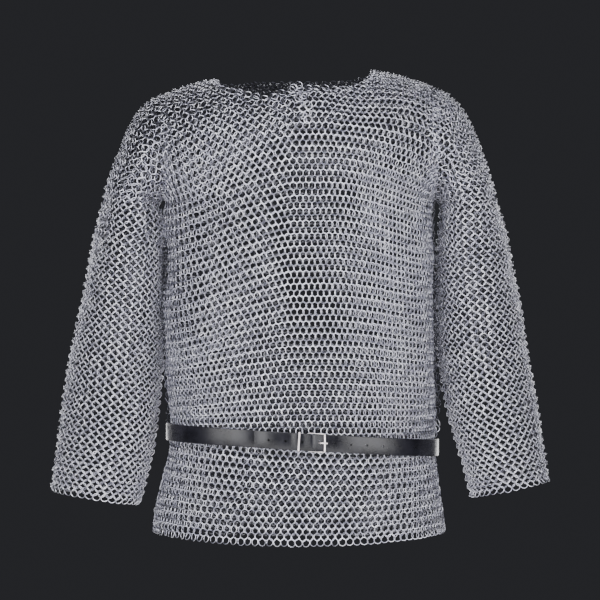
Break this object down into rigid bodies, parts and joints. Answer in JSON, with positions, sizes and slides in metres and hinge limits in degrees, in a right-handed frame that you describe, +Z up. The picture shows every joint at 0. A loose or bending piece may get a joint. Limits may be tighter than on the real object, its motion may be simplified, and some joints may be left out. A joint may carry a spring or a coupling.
{
  "type": "chainmail hauberk",
  "caption": "Long-sleeved mail shirt of linked steel rings, hollow as when worn, with a lapped neck slit, open hem and cuffs, and a buckled leather waist belt.",
  "frame": {"origin": "between the two armholes at the height where the shirt lies on the wearer's shoulders beside the neck", "axes": "+Z up the wearer, -Y out of the chest, +X to the onlooker's right, across the sleeves"},
  "size_m": [0.7496, 0.2773, 0.7013],
  "materials": {
    "mail": "zinc-plated wire, dull bright",
    "leather": "black bridle leather, waxed to a soft gloss",
    "fitting": "nickel-plated steel, polished"
  },
  "bodies": {
    "root": {"front_panel": "mail", "back_panel": "mail", "left_sleeve_head_front": "mail", "left_sleeve_head_back": "mail", "left_sleeve_front": "mail", "left_sleeve_back": "mail", "right_sleeve_head_front": "mail", "right_sleeve_head_back": "mail", "right_sleeve_front": "mail", "right_sleeve_back": "mail", "neck_flap": "mail", "belt_strap": "leather", "belt_keeper": "fitting", "buckle_frame": "fitting", "buckle_prong": "fitting"}
  },
  "joints": []
}
